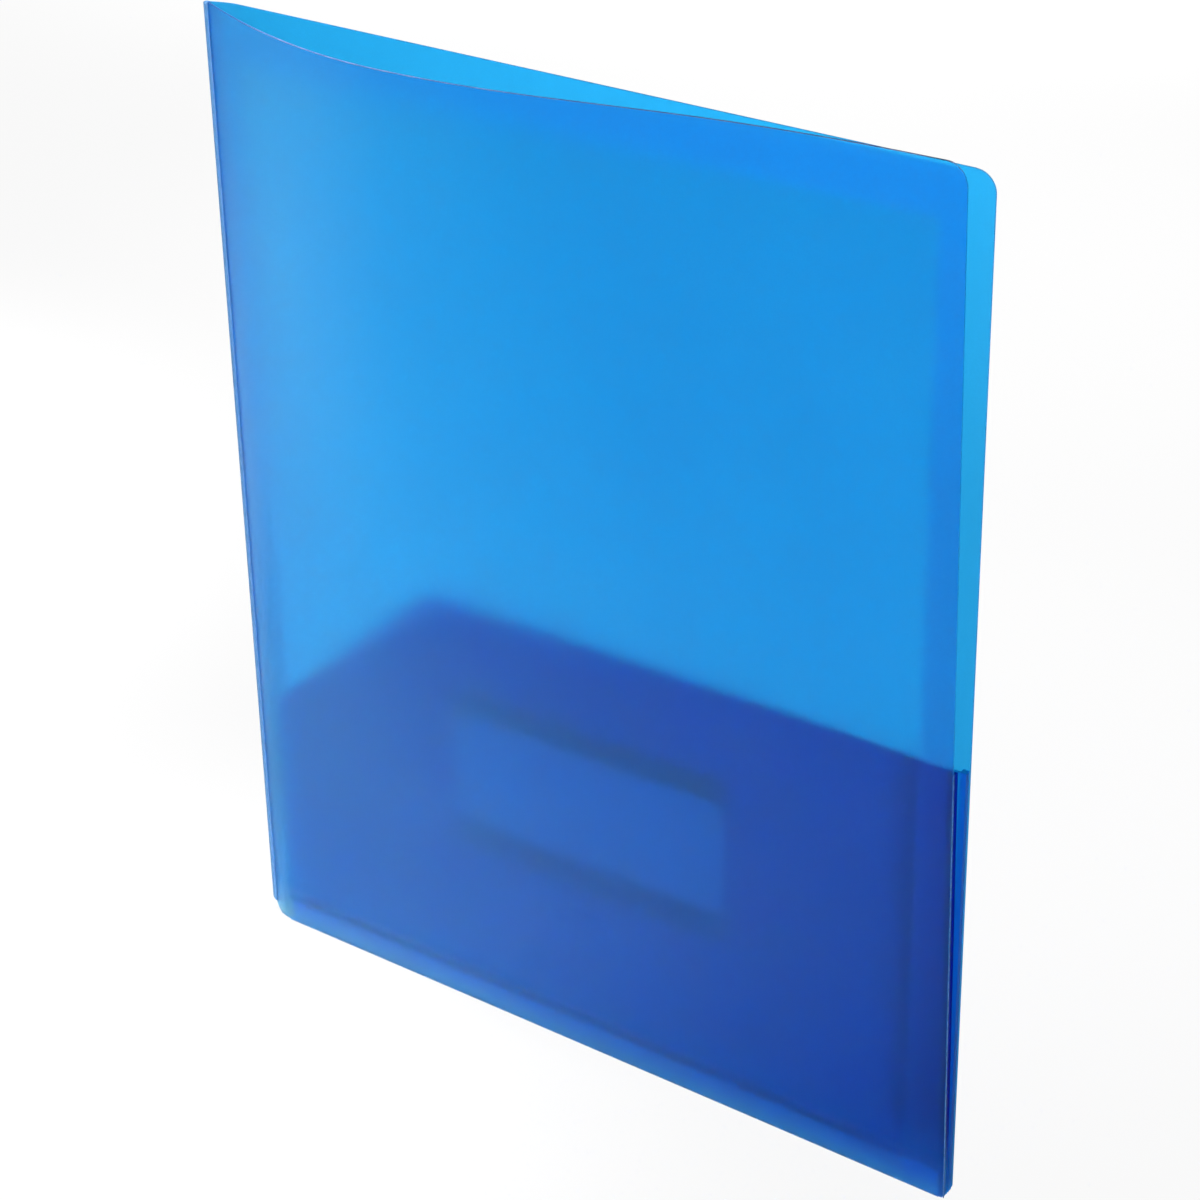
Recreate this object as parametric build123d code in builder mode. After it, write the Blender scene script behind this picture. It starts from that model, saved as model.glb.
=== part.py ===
"""A two pocket folder of thin see-through plastic sheet, standing on its bottom folds.

The spine is at the left (-X), the fore-edge at the right (+X), the front cover faces -Y and +Z is up.
The origin is at the bottom, in the middle of the folder's box. All lengths are in millimetres.
"""

import os

from build123d import *

# The loose letter sheet in the back pocket, which the folder is made to hold
paper_width = 215.9
paper_height = 279.4
paper_thickness = 0.3
paper_clearance = 0.3

# The plastic sheet and the covers
sheet = 0.5
spine_margin = 11.5
fore_margin = 14.0
head_room = 15.8
back_drop = 2.4
top_corner_radius = 5.5
fore_corner_radius = 1.5
spine_corner_radius = 6.0

# The spine: a round crease bead, and how the covers leave it
crease_radius = 0.75
hinge_gap = 0.25
bend_length = 9.0
bend_angle = 24.0

# The bowed top edge of the front cover: its crest, and how long it takes to ease from there to the fore-edge
bow_depth = 21.0
bow_crest_x = 77.0
bow_angle = 26.0
crest_ease_share = 0.36
fore_ease_share = 0.53

# The pockets
pocket_room = 1.5
flap_gap = 0.4
pocket_height = 133.5
flap_free_edge = 8.0
flap_cut_width = 61.0
flap_cut_height = 54.0
fold_corner_radius = 0.4
seal_width = 1.6
seal_margin = 0.3

# The label on the front flap
label_width = 93.0
label_height = 51.0
label_thickness = 0.1
label_drop = 29.0
label_shift = 1.8
label_corner_radius = 2.0

# Cover size, from the sheet it holds
fold_height = sheet
paper_foot = fold_height + paper_clearance
cover_width = spine_margin + paper_width + fore_margin
cover_height = paper_foot + paper_height + head_room

# Depths from the spine's axis, the same on both sides of it
flap_inner = flap_gap / 2
flap_outer = flap_inner + sheet
cover_inner = flap_outer + pocket_room
cover_middle = cover_inner + sheet / 2
cover_outer = cover_inner + sheet

# A bowed sheet keeps its length, so the top of the front cover is drawn in towards the spine
bow_pull = 8 * bow_depth**2 / (3 * cover_width)

# The spine's axis, placed so that the box round the folder is centred over the origin
spine_x = (crease_radius - cover_width) / 2
spine_y = (bow_depth + sheet / 2 - cover_outer) / 2

# Cutting tools reach this far past what they cut
over = 4.0
cut_depth = 2 * bow_depth


def level(z):
    """The horizontal plane at height z, with its origin on the spine's axis."""
    return Plane(origin=(spine_x, spine_y, z))


def upright(depth):
    """The upright plane at a depth behind the spine: its x runs from the spine, its y runs up."""
    return Plane(origin=(spine_x, spine_y + depth, 0), x_dir=(1, 0, 0), z_dir=(0, -1, 0))


def endwise(x):
    """The upright plane across the folder at a distance from the spine: its x runs to the back."""
    return Plane(origin=(spine_x + x, spine_y, 0), x_dir=(0, 1, 0), z_dir=(1, 0, 0))


def front_fore_x(z):
    """How far from the spine the front cover's fore-edge lies at height z."""
    return cover_width - bow_pull * (z - fold_height) / (cover_height - fold_height)


def knee(start, away, goal):
    """Where a curve's first direction meets the level of its end, for a bend between the two."""
    return Vector(start.X + (goal.Y - start.Y) * away.X / away.Y, goal.Y)


def eased_run(start, end):
    """From crest to fore-edge in an easy double bend, which is straight where both lie at one depth."""
    length = end.X - start.X
    return Bezier(
        start,
        start + Vector(crest_ease_share * length, 0),
        end - Vector(fore_ease_share * length, 0),
        end,
    )


def cover_section(z, root_gap, angle, crest_x, crest_depth, end_x, side, run):
    """A cover cut level at height z: a bend out of the crease, then a run along to the fore-edge.

    The side is -1 for the front cover and 1 for the back one.
    """
    away = Vector(1, 0).rotate(Axis.Z, side * angle)
    across = Vector(-away.Y, away.X) * (sheet / 2)
    half = Vector(0, sheet / 2)
    root = away * (crease_radius + root_gap)
    crest = Vector(crest_x, side * crest_depth)
    end = Vector(end_x, side * cover_middle)
    with BuildSketch(level(z)) as section:
        with BuildLine():
            Bezier(root - across, knee(root - across, away, crest - half), crest - half)
            run(crest - half, end - half)
            Line(end - half, end + half)
            run(crest + half, end + half)
            Bezier(crest + half, knee(root + across, away, crest + half), root + across)
            Line(root + across, root - across)
        make_face()
    return section.sketch


def corner_waste(x, z, radius, way_x, way_z):
    """What comes off a cover's corner to round it. The corner is at x, z and points way_x, way_z."""
    reach = radius + over
    with BuildSketch(upright(0)) as waste:
        with Locations((x - way_x * radius, z - way_z * radius)):
            with Locations((way_x * reach / 2, way_z * reach / 2)):
                Rectangle(reach, reach)
            Circle(radius, mode=Mode.SUBTRACT)
    return waste.sketch


def flap_outline(depth, top_right_x):
    """A pocket flap, with the top corner on the spine's side cut off on the slant."""
    with BuildSketch(upright(depth)) as outline:
        with BuildLine():
            Polyline(
                (flap_free_edge, fold_height),
                (cover_width, fold_height),
                (top_right_x, pocket_height),
                (flap_free_edge + flap_cut_width, pocket_height),
                (flap_free_edge, pocket_height - flap_cut_height),
                close=True,
            )
        make_face()
    return outline.sketch


def seal_outline(depth, top_right_x):
    """A weld: a narrow strip that follows the fore-edge, just inside it."""
    bottom_x = cover_width - seal_margin
    top_x = top_right_x - seal_margin
    with BuildSketch(upright(depth)) as outline:
        with BuildLine():
            Polyline(
                (bottom_x - seal_width, fold_height),
                (bottom_x, fold_height),
                (top_x, pocket_height),
                (top_x - seal_width, pocket_height),
                close=True,
            )
        make_face()
    return outline.sketch


def fold_outline(side):
    """The web under a pocket, cut across: flat below, with its two lower edges rounded."""
    with BuildSketch(endwise(flap_free_edge)) as outline:
        with Locations((side * (flap_inner + cover_outer) / 2, fold_height / 2)):
            Rectangle(cover_outer - flap_inner, fold_height)
        fillet(outline.vertices().group_by(Axis.Y)[0], fold_corner_radius)
    return outline.sketch


fold_length = cover_width - fore_corner_radius - flap_free_edge

# Front cover: straight along its bottom fold, bowed forwards along its top edge
with BuildPart() as front_cover:
    front_top_x = front_fore_x(cover_height)
    foot = cover_section(
        fold_height, hinge_gap, bend_angle, bend_length, cover_middle, cover_width, -1, eased_run
    )
    head = cover_section(
        cover_height, hinge_gap, bow_angle, bow_crest_x, bow_depth, front_top_x, -1, eased_run
    )
    loft([foot, head], ruled=True)
    top_waste = corner_waste(front_top_x, cover_height, top_corner_radius, 1, 1)
    extrude(top_waste, cut_depth, both=True, mode=Mode.SUBTRACT)
    fore_waste = corner_waste(cover_width, 0, fore_corner_radius, 1, -1)
    extrude(fore_waste, cut_depth, both=True, mode=Mode.SUBTRACT)
    spine_waste = corner_waste(0, 0, spine_corner_radius, -1, -1)
    extrude(spine_waste, cut_depth, both=True, mode=Mode.SUBTRACT)

# Back cover: flat apart from the bend beside the crease, its top edge falling towards the fore-edge
with BuildPart() as back_cover:
    foot = cover_section(fold_height, 0, bend_angle, bend_length, cover_middle, cover_width, 1, Line)
    extrude(foot, cover_height - fold_height)
    with BuildSketch(upright(0)):
        with BuildLine():
            Polyline(
                (0, cover_height),
                (cover_width, cover_height - back_drop),
                (cover_width, cover_height + over),
                (0, cover_height + over),
                close=True,
            )
        make_face()
    extrude(amount=cut_depth, both=True, mode=Mode.SUBTRACT)
    top_waste = corner_waste(cover_width, cover_height - back_drop, top_corner_radius, 1, 1)
    extrude(top_waste, cut_depth, both=True, mode=Mode.SUBTRACT)
    fore_waste = corner_waste(cover_width, 0, fore_corner_radius, 1, -1)
    extrude(fore_waste, cut_depth, both=True, mode=Mode.SUBTRACT)
    spine_waste = corner_waste(0, 0, spine_corner_radius, -1, -1)
    extrude(spine_waste, cut_depth, both=True, mode=Mode.SUBTRACT)

# Spine crease: the bead that the front cover turns about
with BuildPart() as spine_crease:
    with BuildSketch(level(spine_corner_radius)):
        Circle(crease_radius)
    extrude(amount=cover_height - spine_corner_radius)

# Pocket flaps, each standing on its fold
with BuildPart() as front_pocket:
    extrude(flap_outline(-flap_inner, front_fore_x(pocket_height)), sheet)

with BuildPart() as back_pocket:
    extrude(flap_outline(flap_outer, cover_width), sheet)

# Bottom folds: the webs that the covers and flaps stand on
with BuildPart() as front_bottom_fold:
    extrude(fold_outline(-1), fold_length)

with BuildPart() as back_bottom_fold:
    extrude(fold_outline(1), fold_length)

# Edge welds between each cover and its flap
with BuildPart() as front_edge_seal:
    extrude(seal_outline(-flap_outer, front_fore_x(pocket_height)), pocket_room)

with BuildPart() as back_edge_seal:
    extrude(seal_outline(cover_inner, cover_width), pocket_room)

# The letter sheet, standing in the back pocket
with BuildPart() as insert_sheet:
    with BuildSketch(upright(flap_outer + paper_clearance + paper_thickness)):
        with Locations((spine_margin, paper_foot)):
            Rectangle(paper_width, paper_height, align=(Align.MIN, Align.MIN))
    extrude(amount=paper_thickness)

# The label, on the back of the front flap
with BuildPart() as pocket_label:
    with BuildSketch(upright(label_thickness - flap_inner)):
        with Locations((cover_width / 2 + label_shift, pocket_height - label_drop - label_height / 2)):
            RectangleRounded(label_width, label_height, label_corner_radius)
    extrude(amount=label_thickness)

pieces = {
    "front_cover": front_cover,
    "back_cover": back_cover,
    "spine_crease": spine_crease,
    "front_pocket": front_pocket,
    "back_pocket": back_pocket,
    "front_bottom_fold": front_bottom_fold,
    "back_bottom_fold": back_bottom_fold,
    "front_edge_seal": front_edge_seal,
    "back_edge_seal": back_edge_seal,
    "insert_sheet": insert_sheet,
    "pocket_label": pocket_label,
}

os.makedirs("parts", exist_ok=True)
for name, piece in pieces.items():
    piece.part.label = name
    export_step(piece.part, f"parts/{name}.step")
    print(name, round(piece.part.volume, 1), piece.part.is_valid)
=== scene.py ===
# %% [markdown]
# # A two pocket folder in frosted blue plastic
#
# The folder is one die-cut sheet of see-through polypropylene, creased at the spine, folded up at the bottom
# into two pockets and welded at the fore-edge. A white letter sheet stands in the back pocket, and a small
# label shows through the front one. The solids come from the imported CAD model, already at their real size
# and place. This lesson gives them their finishes, models again the fine pieces that a solid model keeps
# plain, and lights them.

# %% Load the frame
import math

import bmesh
import bpy
from mathutils import Matrix, Vector


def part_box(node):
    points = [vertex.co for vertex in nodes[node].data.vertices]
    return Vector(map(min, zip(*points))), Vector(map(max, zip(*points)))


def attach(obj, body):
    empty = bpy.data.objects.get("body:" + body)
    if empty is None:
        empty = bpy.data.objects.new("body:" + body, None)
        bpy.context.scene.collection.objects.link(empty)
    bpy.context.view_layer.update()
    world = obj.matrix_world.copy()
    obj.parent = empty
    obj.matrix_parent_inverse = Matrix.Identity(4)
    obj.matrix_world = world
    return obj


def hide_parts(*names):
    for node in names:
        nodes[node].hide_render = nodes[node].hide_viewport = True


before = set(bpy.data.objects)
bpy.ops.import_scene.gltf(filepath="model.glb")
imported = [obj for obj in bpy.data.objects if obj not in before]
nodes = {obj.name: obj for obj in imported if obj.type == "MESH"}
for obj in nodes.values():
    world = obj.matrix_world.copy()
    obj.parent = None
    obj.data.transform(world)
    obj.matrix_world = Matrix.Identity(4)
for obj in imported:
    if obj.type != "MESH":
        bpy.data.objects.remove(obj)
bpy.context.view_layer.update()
bpy.ops.object.select_all(action="DESELECT")
scene = bpy.context.scene
print("nodes:", sorted(nodes))

# %% [markdown]
# ## Where things are
#
# Everything on the folder is easiest to name from the foot of the spine: how far along towards the
# fore-edge, how far back, how far up. The spine's crease is a thin upright bead in the CAD model, so the
# middle of its box gives that point. Lengths on the folder are written in millimetres and turned into metres
# in one place. The lamps and the table are in metres.

# %% Places from the foot of the spine
MM = 0.001
crease_low, crease_high = (Vector(corner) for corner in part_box("spine_crease"))
spine_foot = Vector(((crease_low.x + crease_high.x) / 2, (crease_low.y + crease_high.y) / 2, 0.0))


def spot(along, back, up):
    """A point given in millimetres from the foot of the spine."""
    return spine_foot + Vector((along, back, up)) * MM


def reach_of(node):
    """A CAD node's lowest and highest corner, in millimetres from the foot of the spine."""
    return [(Vector(corner) - spine_foot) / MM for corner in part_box(node)]


print("spine foot at", [round(v, 4) for v in spine_foot])

# %% [markdown]
# ## The camera
#
# The folder is seen from the front right and from above, through a long lens. The camera could be set by
# eye. Here its place, its turn and its focal length were worked out from the folder's corners and edges, so
# that each edge falls where the photograph has it. A small lens shift moves the folder within the picture
# without tilting it.

# %% Camera
camera_place = (547.858, -575.752, 535.418)
degrees_turned = 38.165
degrees_down = 26.485
degrees_rolled = -2.042
picture_pixels = 1200
shift_pixels = 100
camera_data = bpy.data.cameras.new("camera")
camera_data.sensor_width = 36.0
camera_data.lens = 89.785
camera_data.shift_x = shift_pixels / picture_pixels
camera_data.shift_y = -shift_pixels / picture_pixels
camera_data.clip_start = 0.01
camera = bpy.data.objects.new("camera", camera_data)
scene.collection.objects.link(camera)
scene.camera = camera
turn = Matrix.Rotation(math.radians(degrees_turned), 4, "Z")
tilt = Matrix.Rotation(math.radians(90 - degrees_down), 4, "X")
roll = Matrix.Rotation(math.radians(degrees_rolled), 4, "Z")
camera.matrix_world = Matrix.Translation(spot(*camera_place)) @ turn @ tilt @ roll
print("camera at", [round(v, 3) for v in camera.matrix_world.translation])

# %% [markdown]
# ## The studio
#
# The folder stands on a white table in a quiet studio. A plain white background would be simpler, but a
# see-through folder also shows the table behind it, shadow and all. So the table is a plain white to the
# camera alone. A ray that has passed through the plastic, or has been reflected by it, sees a mix of that
# white and of the table as the lamps light it. Light Path tells the rays apart.

# %% World
scene.view_settings.view_transform = "Standard"
studio_light = 0.12
studio_shares = {"Is Camera Ray": 0.88, "Is Glossy Ray": 0.0, "Is Transmission Ray": 0.48}


def ray_shares(tree, shares):
    """One value per kind of ray: from the camera, in gloss, or through the plastic, and 0 for all others."""
    path = tree.nodes.new("ShaderNodeLightPath")
    total = None
    for kind, share in shares.items():
        scaled = tree.nodes.new("ShaderNodeMath")
        scaled.operation = "MULTIPLY"
        scaled.inputs[1].default_value = share
        tree.links.new(path.outputs[kind], scaled.inputs[0])
        if total is None:
            total = scaled
            continue
        added = tree.nodes.new("ShaderNodeMath")
        added.operation = "ADD"
        tree.links.new(total.outputs[0], added.inputs[0])
        tree.links.new(scaled.outputs[0], added.inputs[1])
        total = added
    return total.outputs[0]


world = bpy.data.worlds.new("studio")
scene.world = world
world.use_nodes = True
tree = world.node_tree
background = tree.nodes["Background"]
background.inputs["Color"].default_value = (1.0, 1.0, 1.0, 1.0)
strength = tree.nodes.new("ShaderNodeMath")
strength.operation = "ADD"
strength.inputs[1].default_value = studio_light
tree.links.new(ray_shares(tree, studio_shares), strength.inputs[0])
tree.links.new(strength.outputs[0], background.inputs["Strength"])
print("studio light", studio_light)

# %% Table
table_size = 12.0
table_drop = 0.0002
table_shares = {"Is Camera Ray": 0.92, "Is Glossy Ray": 0.05, "Is Transmission Ray": 0.05}
bpy.ops.mesh.primitive_plane_add(size=table_size, location=(0, 0, -table_drop))
table = bpy.context.object
table.name = "table"
bpy.ops.object.transform_apply(location=True, rotation=True, scale=True)
white = bpy.data.materials.new("white_table")
white.use_nodes = True
tree = white.node_tree
tree.nodes.clear()
out = tree.nodes.new("ShaderNodeOutputMaterial")
pale = tree.nodes.new("ShaderNodeBsdfDiffuse")
pale.inputs["Color"].default_value = (0.9, 0.9, 0.9, 1.0)
glow = tree.nodes.new("ShaderNodeEmission")
glow.inputs["Strength"].default_value = 1.0
mix = tree.nodes.new("ShaderNodeMixShader")
tree.links.new(ray_shares(tree, table_shares), mix.inputs["Fac"])
tree.links.new(pale.outputs[0], mix.inputs[1])
tree.links.new(glow.outputs[0], mix.inputs[2])
tree.links.new(mix.outputs[0], out.inputs["Surface"])
table.data.materials.append(white)
print("table", table_size, "m wide")

# %% [markdown]
# ## The lamps
#
# One large lamp would light a solid thing well enough. Here a softbox from the front right lights the letter
# sheet through the cover, a small low one fills in the pocket, and one behind lights the back cover. The
# frosted skin is too rough to mirror a lamp, but it mirrors the lit table as a pale haze. So the other lamps
# look straight down and make soft pools of light on the table: two at the folder's foot and two to its left
# for that haze, and three behind, which show through the back cover. Light has to cross many faces of
# plastic to reach the sheet in its pocket and come back, so the rays are allowed more bounces than Blender's
# own limit.

# %% Lamps
pool_lamp_height = 1.2
pool_lamp_size = 0.05
face_crossings = 24


def softbox(name, place, aim, wide, tall, power):
    """An oblong area lamp that looks at a point."""
    lamp = bpy.data.lights.new(name, "AREA")
    lamp.shape = "RECTANGLE"
    lamp.size = wide
    lamp.size_y = tall
    lamp.energy = power
    box = bpy.data.objects.new(name, lamp)
    scene.collection.objects.link(box)
    way = Vector(aim) - Vector(place)
    box.matrix_world = Matrix.Translation(place) @ way.to_track_quat("-Z", "Y").to_matrix().to_4x4()
    print(name, power, "W at", place)


def table_pool(name, place, reach, power):
    """A lamp that looks straight down and lights a soft round pool of the table."""
    lamp = bpy.data.lights.new(name, "SPOT")
    lamp.energy = power
    lamp.spot_size = 2 * math.atan(reach / pool_lamp_height)
    lamp.spot_blend = 1.0
    lamp.shadow_soft_size = pool_lamp_size
    pool_lamp = bpy.data.objects.new(name, lamp)
    scene.collection.objects.link(pool_lamp)
    pool_lamp.location = (*place, pool_lamp_height)
    print(name, power, "W over", place)


softbox("front_lamp", place=(1.2, -1.3, 0.32), aim=(0, 0, 0.17), wide=1.2, tall=0.5, power=13.5)
softbox("low_lamp", place=(0.75, -0.95, 0.1), aim=(0.05, 0, 0.02), wide=0.4, tall=0.15, power=4.0)
softbox("back_lamp", place=(0.1, 1.4, 0.6), aim=(0, 0, 0.2), wide=1.0, tall=1.0, power=10.0)
table_pool("left_foot_pool", place=(-0.12, -0.08), reach=0.20, power=92.0)
table_pool("right_foot_pool", place=(0.05, -0.08), reach=0.09, power=20.0)
table_pool("left_pool", place=(-0.52, 0.02), reach=0.35, power=138.0)
table_pool("far_left_pool", place=(-0.75, -0.6), reach=0.6, power=85.0)
table_pool("near_back_pool", place=(0.02, 0.2), reach=0.22, power=24.0)
table_pool("back_pool", place=(-0.27, 0.5), reach=0.40, power=30.0)
table_pool("far_back_pool", place=(-0.75, 1.3), reach=0.8, power=150.0)
scene.cycles.max_bounces = face_crossings
scene.cycles.transmission_bounces = face_crossings

# %% [markdown]
# ## Building finishes
#
# Finishes could be painted as pictures and wrapped round the pieces. Here each is a node tree that reads the
# piece's own Object coordinates, so it stays fine up close, and in place when the folder opens. A few
# helpers say in one line what would be several clicks in the shader editor: a noise, a value spread over a
# new range, two colours mixed, and a share that changes along the folder or up it.

# %% Node helpers


def plain_material(name):
    """A new material with its node tree and its shader."""
    made = bpy.data.materials.new(name)
    made.use_nodes = True
    print("material", name)
    return made, made.node_tree, made.node_tree.nodes["Principled BSDF"]


def noise(tree, per_metre, detail):
    """A cloudy value from 0 to 1, with about this many clouds to a metre."""
    where = tree.nodes.new("ShaderNodeTexCoord")
    clouds = tree.nodes.new("ShaderNodeTexNoise")
    clouds.inputs["Scale"].default_value = per_metre
    clouds.inputs["Detail"].default_value = detail
    tree.links.new(where.outputs["Object"], clouds.inputs["Vector"])
    return clouds.outputs["Fac"]


def spread(tree, value, low, high, to_low=0.0, to_high=1.0):
    """A value between low and high, eased to a new range."""
    ranged = tree.nodes.new("ShaderNodeMapRange")
    ranged.interpolation_type = "SMOOTHSTEP"
    for socket, number in (("From Min", low), ("From Max", high), ("To Min", to_low), ("To Max", to_high)):
        ranged.inputs[socket].default_value = number
    tree.links.new(value, ranged.inputs["Value"])
    return ranged.outputs["Result"]


def mixed(tree, share, first, second):
    """Two colours mixed by a share. Each is three numbers or a colour socket."""
    mixer = tree.nodes.new("ShaderNodeMix")
    mixer.data_type = "RGBA"
    tree.links.new(share, mixer.inputs[0])
    for socket, colour in ((mixer.inputs[6], first), (mixer.inputs[7], second)):
        if isinstance(colour, tuple):
            socket.default_value = (*colour, 1.0)
        else:
            tree.links.new(colour, socket)
    return mixer.outputs[2]


def part_of(tree, what, axis):
    """One axis of the Object or Normal coordinate."""
    where = tree.nodes.new("ShaderNodeTexCoord")
    split = tree.nodes.new("ShaderNodeSeparateXYZ")
    tree.links.new(where.outputs[what], split.inputs[0])
    return split.outputs[axis]


# %% Finish helpers
bump_depth = 0.02


def share_along(tree, start, end, to_low=0.0, to_high=1.0):
    """A share that changes between two distances from the spine."""
    along = part_of(tree, "Object", 0)
    return spread(tree, along, spot(start, 0, 0).x, spot(end, 0, 0).x, to_low, to_high)


def share_up(tree, start, end, to_low=0.0, to_high=1.0):
    """A share that changes between two heights."""
    return spread(tree, part_of(tree, "Object", 2), start * MM, end * MM, to_low, to_high)


def mottled(tree, pattern, first, second, low=0.3, high=0.7):
    """Two colours mixed by the middle range of a noise."""
    return mixed(tree, spread(tree, pattern, low, high), first, second)


def skin(shader, rough, through=0.0, ior=1.5):
    """How rough a finish is, how much of the light goes through it and how strongly it bends that light."""
    shader.inputs["Roughness"].default_value = rough
    shader.inputs["Transmission Weight"].default_value = through
    shader.inputs["IOR"].default_value = ior


def bumps(tree, shader, pattern, strength):
    """Very shallow bumps that follow a noise."""
    bump = tree.nodes.new("ShaderNodeBump")
    bump.inputs["Strength"].default_value = strength
    bump.inputs["Distance"].default_value = bump_depth * MM
    tree.links.new(pattern, bump.inputs["Height"])
    tree.links.new(bump.outputs["Normal"], shader.inputs["Normal"])


# %% [markdown]
# ## Frosted plastic
#
# Polypropylene sheet is clear blue plastic with a matt skin on both faces. Each face bends and scatters the
# light a little, so what touches the sheet shows sharply through it and what stands behind it blurs. A plain
# see-through shader would not blur. Rough glass does, and light that has to cross two, four or six sheets
# darkens by itself. The blue varies a little: a fine grain from the matt rollers, wide soft clouds, a deeper
# tone along the front cover's spine, and a few specks. Light and shade are painted in as well: a painted
# highlight on the top cut edge, a painted glow by the folds, and painted shade along the back cover's spine
# and by the front flap's weld.

# %% Plastic tones
specks_per_metre = 26.0
speck_edge = (0.004, 0.011)
speck_share = 0.8
speck_white = (0.95, 0.97, 1.0)


def shaded(colour, factor):
    """A colour made a little lighter or darker."""
    return tuple(min(1.0, channel * factor) for channel in colour)


def speckled(tree, tint):
    """A tint with a few small pale specks, whose edge is a share of the pattern's cells."""
    where = tree.nodes.new("ShaderNodeTexCoord")
    dots = tree.nodes.new("ShaderNodeTexVoronoi")
    dots.inputs["Scale"].default_value = specks_per_metre
    tree.links.new(where.outputs["Object"], dots.inputs["Vector"])
    in_speck = spread(tree, dots.outputs["Distance"], *speck_edge, to_low=speck_share, to_high=0.0)
    return mixed(tree, in_speck, tint, speck_white)


# %% Plastic material
grain_per_metre = 1800.0
clouds_per_metre = 22.0
cloud_shades = (0.98, 1.02)
grain_shade = 0.965
rough_swing = 0.05
spine_band = (5, 13)
spine_tones_meet = (50, 90)
weld_band = (216, 236)
flap_fold_band = (4, 28)
upward_normals = (0.55, 0.8)


def frosted(name, colour, rough, ior, spine_tones=None, weld_painted_shade=None, painted_fold_glow=None,
            fold_band=flap_fold_band, painted_edge_highlight=None, specks=False):
    """See-through plastic with a matt skin, with spine tones, painted weld shade, painted fold glow and a
    painted cut-edge highlight.

    The spine has two tones, a low one and a high one.
    """
    made, tree, shader = plain_material(name)
    skin(shader, rough, through=1.0, ior=ior)
    grain = noise(tree, grain_per_metre, detail=3.0)
    clouds = noise(tree, clouds_per_metre, detail=2.0)
    darker, lighter = (shaded(colour, shade) for shade in cloud_shades)
    tint = mottled(tree, clouds, darker, lighter)
    tint = mottled(tree, grain, shaded(colour, grain_shade), tint, low=0.25, high=0.75)
    # On the back cover these spine tones are painted shade.
    if spine_tones:
        spine_tone = mixed(tree, share_up(tree, *spine_tones_meet), *spine_tones)
        by_spine = share_along(tree, *spine_band, to_low=1.0, to_high=0.0)
        tint = mixed(tree, by_spine, tint, spine_tone)
    # Painted shade by the weld.
    if weld_painted_shade:
        tint = mixed(tree, share_along(tree, *weld_band), tint, weld_painted_shade)
    # Painted glow by the fold.
    if painted_fold_glow:
        by_fold = share_up(tree, *fold_band, to_low=1.0, to_high=0.0)
        tint = mixed(tree, by_fold, tint, painted_fold_glow)
    if specks:
        tint = speckled(tree, tint)
    # Painted highlight on faces that look up, the cut edge.
    if painted_edge_highlight:
        tint = mixed(tree, spread(tree, part_of(tree, "Normal", 2), *upward_normals), tint, painted_edge_highlight)
    tree.links.new(tint, shader.inputs["Base Color"])
    uneven = spread(
        tree, grain, low=0.2, high=0.8, to_low=rough - rough_swing, to_high=rough + rough_swing)
    tree.links.new(uneven, shader.inputs["Roughness"])
    bumps(tree, shader, grain, strength=0.06)
    return made


# %% Covers
front_blue = (0.03, 0.615, 1.0)
front_spine_blue = (0.04, 0.54, 0.91)
# Painted glow: the front cover is paler near its foot, for the lit table that it mirrors there.
front_foot_painted_glow = (0.34, 0.80, 1.0)
front_foot_band = (-3, 15)
# Painted highlight: the cut edge that faces up is paler.
top_edge_painted_highlight = (0.55, 0.72, 0.97)
back_blue = (0.025, 0.48, 0.96)
# Painted shade: the back cover darkens near the spine, more so low down.
back_spine_painted_shade_low = (0.03, 0.30, 0.66)
back_spine_painted_shade_high = (0.03, 0.44, 0.92)


def finish_with(material, name):
    """Give a CAD node a finish in place of its plain one."""
    nodes[name].data.materials.clear()
    nodes[name].data.materials.append(material)
    print(name, "finished with", material.name)


front_sheet = frosted(
    "front_sheet", front_blue, rough=0.52, ior=1.33, spine_tones=(front_spine_blue, front_spine_blue),
    painted_fold_glow=front_foot_painted_glow, fold_band=front_foot_band, painted_edge_highlight=top_edge_painted_highlight, specks=True)
back_sheet = frosted(
    "back_sheet", back_blue, rough=0.48, ior=1.33, spine_tones=(back_spine_painted_shade_low, back_spine_painted_shade_high))
finish_with(front_sheet, "front_cover")
finish_with(back_sheet, "back_cover")

# %% Flaps
flap_blue = (0.03, 0.60, 1.0)
# Painted glow: the flaps are paler near the bottom fold.
flap_fold_painted_glow = (0.04, 0.68, 1.0)
# Painted shade: the front flap goes dark by the weld, for the shaded table seen through the pocket there.
flap_weld_painted_shade = (0.004, 0.05, 0.62)
front_flap = frosted(
    "front_flap", flap_blue, rough=0.5, ior=1.28, weld_painted_shade=flap_weld_painted_shade, painted_fold_glow=flap_fold_painted_glow)
back_flap = frosted("back_flap", flap_blue, rough=0.5, ior=1.28, painted_fold_glow=flap_fold_painted_glow)
finish_with(front_flap, "front_pocket")
finish_with(back_flap, "back_pocket")

# %% [markdown]
# ## The letter sheet
#
# The paper is plain white and matt. A flat white would do from afar. Under a lens it is a felt of fibres, so
# its white is a little uneven and its skin a little rough. Noise at the scale of the fibres gives both.

# %% Paper
paper_fibres_per_metre = 1400.0
paper_whites = ((0.87, 0.87, 0.86), (0.92, 0.92, 0.91))
paper, tree, shader = plain_material("paper")
fibres = noise(tree, paper_fibres_per_metre, detail=4.0)
tree.links.new(mottled(tree, fibres, *paper_whites), shader.inputs["Base Color"])
skin(shader, rough=0.85)
bumps(tree, shader, fibres, strength=0.1)
finish_with(paper, "insert_sheet")

# %% [markdown]
# ## Shaping by hand
#
# The fine pieces start from a cube or a cylinder at its size and place and are shaped in edit mode. A few
# helpers keep that short: one adds a block between two corners, one picks edges or faces by a test, two
# round edges and draw faces up, and one closes the piece off and tells the frame about it.

# %% Modelling helpers
near_enough = 0.9


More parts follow.
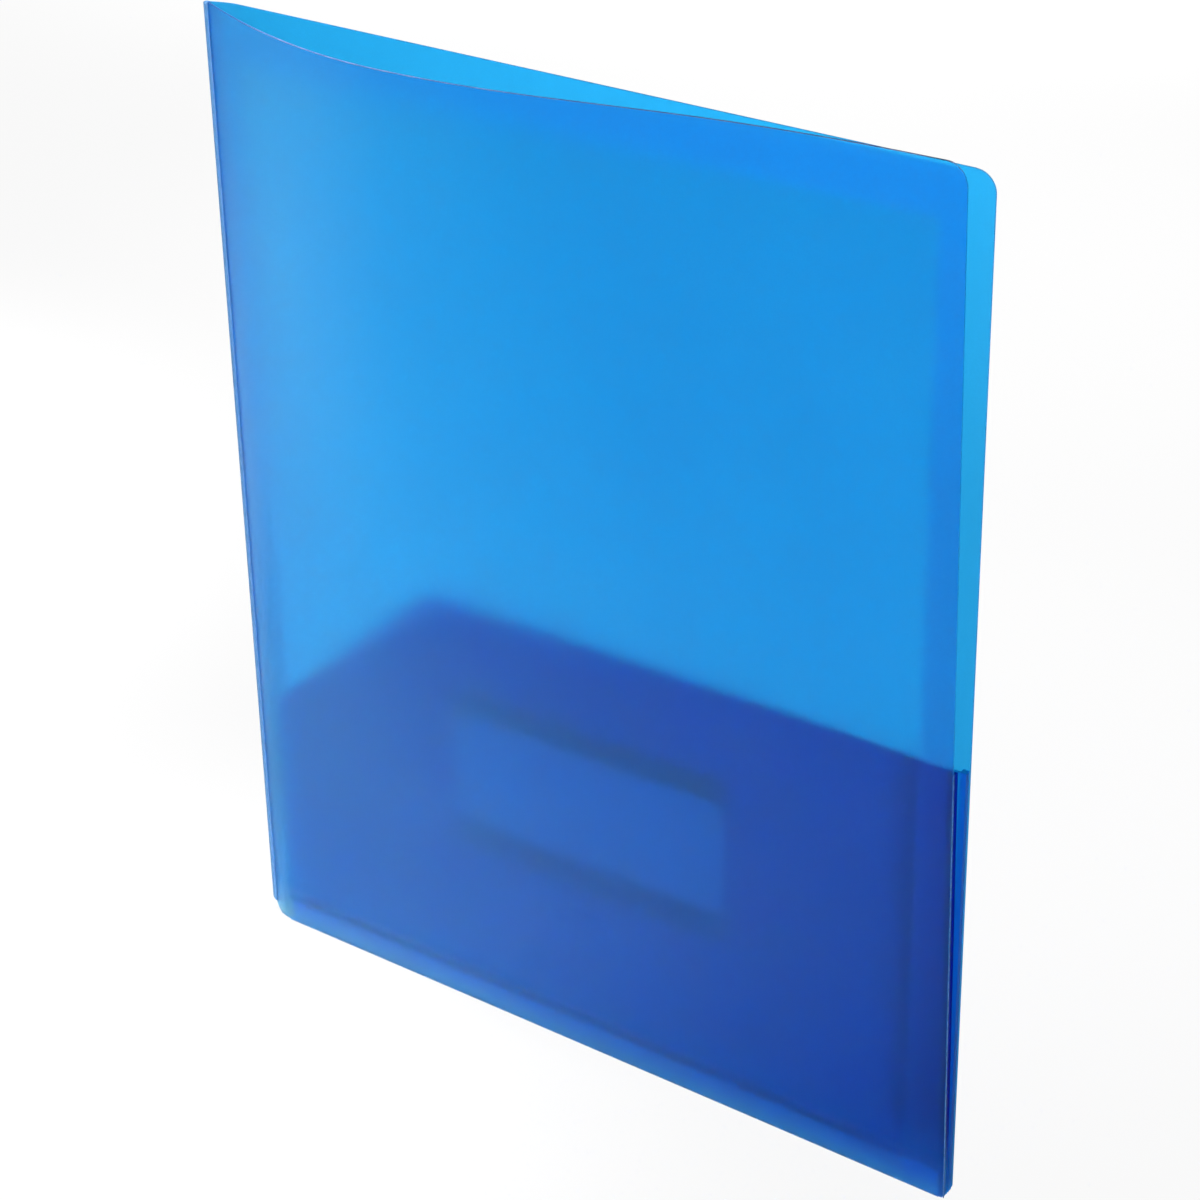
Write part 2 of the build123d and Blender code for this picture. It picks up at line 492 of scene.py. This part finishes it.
def start_block(name, low, high):
    """A cube primitive stretched between two corners, given from the foot of the spine."""
    low, high = spot(*low), spot(*high)
    bpy.ops.object.select_all(action="DESELECT")
    bpy.ops.mesh.primitive_cube_add(size=1.0, location=(low + high) / 2, scale=high - low)
    piece = bpy.context.object
    piece.name = name
    bpy.ops.object.transform_apply(location=True, rotation=True, scale=True)
    bpy.ops.object.mode_set(mode="EDIT")
    return piece


def pick(kind, test):
    """In edit mode, select the edges or the faces that pass a test."""
    modes = {"edges": "EDGE", "faces": "FACE"}
    bpy.ops.mesh.select_mode(type=modes[kind])
    bpy.ops.mesh.select_all(action="DESELECT")
    shape = bmesh.from_edit_mesh(bpy.context.edit_object.data)
    found = [part for part in getattr(shape, kind) if test(part)]
    for part in found:
        part.select_set(True)
    shape.select_flush_mode()
    bmesh.update_edit_mesh(bpy.context.edit_object.data)


def runs(edge, axis):
    """Whether an edge runs along an axis, near enough."""
    way = (edge.verts[1].co - edge.verts[0].co).normalized()
    return abs(way[axis]) > near_enough


def looks_up(face):
    """Whether a face looks up, near enough."""
    return face.normal.z > near_enough


# %% Shaping and closing
smooth_degrees = 35
merge_distance = 1e-7


def round_edges(radius, segments):
    """Round the picked edges."""
    bpy.ops.mesh.bevel(offset=radius * MM, segments=segments, affect="EDGES")


def draw_up(rise):
    """Extrude the picked faces upwards."""
    bpy.ops.mesh.extrude_region_move(TRANSFORM_OT_translate={"value": (0, 0, rise * MM)})


def dress(piece, body, slot, material, *replaced):
    """Close a piece off. Tell the frame its body and the CAD nodes it stands for. The finish slot is not
    used.
    """
    bpy.ops.object.mode_set(mode="EDIT")
    bpy.ops.mesh.select_all(action="SELECT")
    bpy.ops.mesh.remove_doubles(threshold=merge_distance)
    bpy.ops.mesh.normals_make_consistent(inside=False)
    bpy.ops.object.mode_set(mode="OBJECT")
    bpy.ops.object.shade_smooth_by_angle(angle=math.radians(smooth_degrees))
    piece.data.materials.append(material)
    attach(piece, body)
    if replaced:
        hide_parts(*replaced)
    print(piece.name, len(piece.data.polygons), "faces")


# %% [markdown]
# ## The label
#
# A paper label is stuck to the back of the front flap, so it shows softly through two sheets. It is a thin
# card with rounded corners: a cube whose four short edges are bevelled. It stands a hair off the flap,
# because two faces in one plane confuse rays that pass through plastic. Two plain bands run along its top
# and its bottom.

# %% Label finish
label_fibres_per_metre = 900.0
label_greys = ((0.62, 0.66, 0.68), (0.70, 0.73, 0.74))
top_band_blue = (0.14, 0.15, 0.30)
low_band_blue = (0.18, 0.13, 0.38)
band_width = 7.0
top_band_blur = 1.5
low_band_blur = 5.0
label_low, label_high = reach_of("pocket_label")
top_band_foot = label_high.z - band_width
low_band_head = label_low.z + band_width
label_paper, tree, shader = plain_material("label_paper")
in_top_band = share_up(tree, top_band_foot, top_band_foot + top_band_blur)
in_low_band = share_up(tree, low_band_head, low_band_head + low_band_blur, to_low=1.0, to_high=0.0)
ground = mottled(tree, noise(tree, label_fibres_per_metre, detail=3.0), *label_greys)
ground = mixed(tree, in_top_band, ground, top_band_blue)
tree.links.new(mixed(tree, in_low_band, ground, low_band_blue), shader.inputs["Base Color"])
skin(shader, rough=0.6)

# %% Label
label_front = -0.17
label_back = -0.11
label_corner = 2.0
label = start_block(
    "label", (label_low.x, label_front, label_low.z), (label_high.x, label_back, label_high.z))
pick("edges", lambda edge: runs(edge, 1))
round_edges(label_corner, segments=6)
dress(label, "front_half", "label", label_paper, "pocket_label")

# %% [markdown]
# ## The bottom folds
#
# Under each pocket the sheet turns up from the cover to the flap. The CAD model has a flat web there. It
# could be bent up from a strip, but a block is closed from the start: its two lower edges are rounded, and
# its top face is inset and drawn up into a narrow ridge, the flap's root. Its colour is a painted glow, pale
# at the root and fading up the ridge, for the soft light band along the bottom. It stays clear enough to
# throw no hard shadow. The letter sheet stands in the back pocket, so the ridge in there stays low.

# %% Fold finish
fold_mottle_per_metre = 300.0
# Painted glow: pale at the flap's root, fading to the ridge's blue higher up.
root_glow_pales = ((0.58, 0.78, 0.93), (0.66, 0.87, 0.97))
root_glow_by_weld = (0.53, 0.77, 0.98)
ridge_blue = (0.12, 0.34, 0.97)
spine_to_weld = (20, 230)
root_to_ridge = (-2.0, 6.0)
ridge_painted_glow, tree, shader = plain_material("ridge_painted_glow")
root = mottled(tree, noise(tree, fold_mottle_per_metre, detail=3.0), *root_glow_pales)
root = mixed(tree, share_along(tree, *spine_to_weld), root, root_glow_by_weld)
tree.links.new(mixed(tree, share_up(tree, *root_to_ridge), root, ridge_blue), shader.inputs["Base Color"])
skin(shader, rough=0.5, through=0.6, ior=1.35)

# %% Bottom folds
web_height = 0.47
web_round = 0.4
ridge_inset = 0.55
ridge_taper = 0.1


def bottom_fold(name, body, rise, lean, replaced):
    """A web under a pocket, with the flap's turned-up root inside."""
    low, high = reach_of(replaced)
    fold = start_block(name, (low.x, low.y, 0.0), (high.x, high.y, web_height))
    pick("edges", lambda edge: runs(edge, 0) and edge.verts[0].co.z < web_height / 2 * MM)
    round_edges(web_round, segments=5)
    pick("faces", looks_up)
    bpy.ops.mesh.inset(thickness=ridge_inset * MM)
    draw_up(rise)
    bpy.ops.transform.resize(value=(1.0, ridge_taper, 1.0))
    bpy.ops.transform.translate(value=(0, lean * MM, 0))
    dress(fold, body, "frosted_sheet", ridge_painted_glow, replaced)


bottom_fold("front_fold", "front_half", rise=6.5, lean=0.55, replaced="front_bottom_fold")
bottom_fold("back_fold", "back_half", rise=0.2, lean=0.0, replaced="back_bottom_fold")

# %% [markdown]
# ## The edge welds
#
# A hot bar welds each flap to its cover along the fore-edge. The plastic that it squeezes out sets as a fine
# pale bead on the front cover's edge, with a knob at the top where the bar stops. Each strip is a block
# leaned to follow its cover, a hair clear of the sheets on both sides. The bead could be swept along a
# curve, but the edge is straight, so a slimmer leaned block will do, rounded, with its top drawn up into the
# knob.

# %% Weld strips
hair = 0.02
weld_set_in = 0.05
weld_round = 0.3
inner_margin = 0.1
seal_low, seal_high = reach_of("front_edge_seal")
cover_end = reach_of("back_cover")[1].x
seal_foot = reach_of("back_edge_seal")[0].x
front_lean = seal_low.x - seal_foot


def leaned_block(name, left, right, near, far, lean):
    """An upright block beside the fore-edge, whose top leans with the cover."""
    block = start_block(name, (left, near, seal_low.z + hair), (right, far, seal_high.z))
    pick("faces", looks_up)
    bpy.ops.transform.translate(value=(lean * MM, 0, 0))
    return block


def weld_strip(name, body, lean, material, replaced):
    """A weld between a cover and its flap, rounded where it meets the fore-edge."""
    low, high = reach_of(replaced)
    strip = leaned_block(name, seal_foot, cover_end - weld_set_in, low.y + hair, high.y - hair, lean)
    inner_limit = spot(seal_foot + inner_margin + lean / 2, 0, 0).x
    pick("edges", lambda edge: runs(edge, 2) and edge.verts[0].co.x > inner_limit)
    round_edges(weld_round, segments=4)
    dress(strip, body, "weld", material, replaced)


weld_strip("back_weld", "back_half", lean=0.0, material=back_flap, replaced="back_edge_seal")
weld_strip("front_weld", "front_half", lean=front_lean, material=front_flap, replaced="front_edge_seal")

# %% Bead finish
ripples_per_metre = 700.0
bead_blues = ((0.05, 0.24, 0.60), (0.13, 0.38, 0.78))
weld_pale, tree, shader = plain_material("weld_pale")
ripple = noise(tree, ripples_per_metre, detail=2.0)
tree.links.new(mottled(tree, ripple, *bead_blues, low=0.35, high=0.65), shader.inputs["Base Color"])
skin(shader, rough=0.35, through=0.5, ior=1.45)

# %% Weld bead
bead_width = 0.2
bead_depth = 0.48
bead_round = 0.08
knob_rises = (0.2, 0.3)
knob_swells = ((1.6, 1.2, 1.0), (0.6, 0.6, 1.0))
cover_face = reach_of("front_bottom_fold")[0].y
bead = leaned_block(
    "weld_bead", cover_end + hair, cover_end + bead_width, cover_face + hair, cover_face + bead_depth,
    front_lean)
pick("edges", lambda edge: runs(edge, 2))
round_edges(bead_round, segments=3)
pick("faces", looks_up)
for rise, swell in zip(knob_rises, knob_swells):
    draw_up(rise)
    bpy.ops.transform.resize(value=swell)
dress(bead, "front_half", "weld", weld_pale)

# %% [markdown]
# ## The top rim
#
# Light runs along inside the sheet and leaves it at the cut edges, so the front cover's top edge shows as a
# fine pale line, which darkens towards the spine. The line could be traced with a curve. A copy of the
# cover's own mesh already has its bow: all but the top faces are deleted, and what is left is lifted by a
# hair and extruded into a thin rim.

# %% Rim finish
nicks_per_metre = 260.0
rim_blues = ((0.12, 0.22, 0.56), (0.26, 0.34, 0.66))
rim_by_spine = (0.03, 0.14, 0.46)
rim_spine_band = (10, 50)
rim_pale, tree, shader = plain_material("rim_pale")
cut_line = mottled(tree, noise(tree, nicks_per_metre, detail=3.0), *rim_blues, low=0.35, high=0.65)
cut_line = mixed(tree, share_along(tree, *rim_spine_band), rim_by_spine, cut_line)
tree.links.new(cut_line, shader.inputs["Base Color"])
skin(shader, rough=0.4, through=0.2)

# %% Top rim
rim_height = 0.09
rim_merge_distance = 1e-6
level_enough = 0.95
top_edge_reach = 0.5
cover_top = reach_of("front_cover")[1].z


def off_the_top(face):
    """Whether a face is no part of the cover's top edge."""
    height = face.calc_center_median().z
    return face.normal.z < level_enough or height < (cover_top - top_edge_reach) * MM


rim = bpy.data.objects.new("top_rim", nodes["front_cover"].data.copy())
scene.collection.objects.link(rim)
rim.data.materials.clear()
bpy.ops.object.select_all(action="DESELECT")
rim.select_set(True)
bpy.context.view_layer.objects.active = rim
bpy.ops.object.mode_set(mode="EDIT")
bpy.ops.mesh.select_all(action="SELECT")
bpy.ops.mesh.remove_doubles(threshold=rim_merge_distance)
pick("faces", off_the_top)
bpy.ops.mesh.delete(type="FACE")
bpy.ops.mesh.select_all(action="SELECT")
bpy.ops.transform.translate(value=(0, 0, hair * MM))
draw_up(rim_height)
dress(rim, "front_half", "frosted_sheet", rim_pale)

# %% [markdown]
# ## The spine's crease
#
# The covers turn about a rolled crease. On the real folder it is a score in the sheet. Its pale blue is a
# painted reflection, matched to the haze that the covers mirror beside the spine. A slim upright cylinder on
# the hinge's axis looks the same from every side and stays in place as the cover turns. It is a hair smaller
# than the room that the front cover leaves for it. Its foot is cut on the slant, to lead into the covers'
# rounded corners, and the rims are rounded over.

# %% Crease finish
crease_mottle_per_metre = 500.0
# Painted reflection: the crease's pale blue matches the haze beside the spine.
crease_haze_blues = ((0.12, 0.35, 0.70), (0.17, 0.41, 0.76))
crease_painted_haze, tree, shader = plain_material("crease_painted_haze")
crease_mottle = noise(tree, crease_mottle_per_metre, detail=3.0)
tree.links.new(mottled(tree, crease_mottle, *crease_haze_blues), shader.inputs["Base Color"])
skin(shader, rough=0.7, through=0.4, ior=1.4)

# %% Spine crease
crease_head = reach_of("spine_crease")[1].z
crease_foot = 2.4
crease_radius = 0.96
crease_round = 0.25
slant_height = 4.0
slant_way = (-0.8, 0.0, -0.6)
end_slope = 0.5


def at_an_end(edge):
    """Whether an edge lies round the cylinder's head or its slanted foot."""
    return any(abs(face.normal.z) > end_slope for face in edge.link_faces)


bpy.ops.object.select_all(action="DESELECT")
bpy.ops.mesh.primitive_cylinder_add(
    vertices=32, radius=crease_radius * MM, depth=(crease_head - crease_foot) * MM,
    location=spot(0, 0, (crease_foot + crease_head) / 2))
crease = bpy.context.object
crease.name = "crease"
bpy.ops.object.transform_apply(location=True, rotation=True, scale=True)
bpy.ops.object.mode_set(mode="EDIT")
bpy.ops.mesh.select_all(action="SELECT")
bpy.ops.mesh.bisect(
    plane_co=spot(0, 0, slant_height), plane_no=slant_way, use_fill=True, clear_outer=True)
pick("edges", at_an_end)
round_edges(crease_round, segments=3)
dress(crease, "back_half", "crease", crease_painted_haze, "spine_crease")
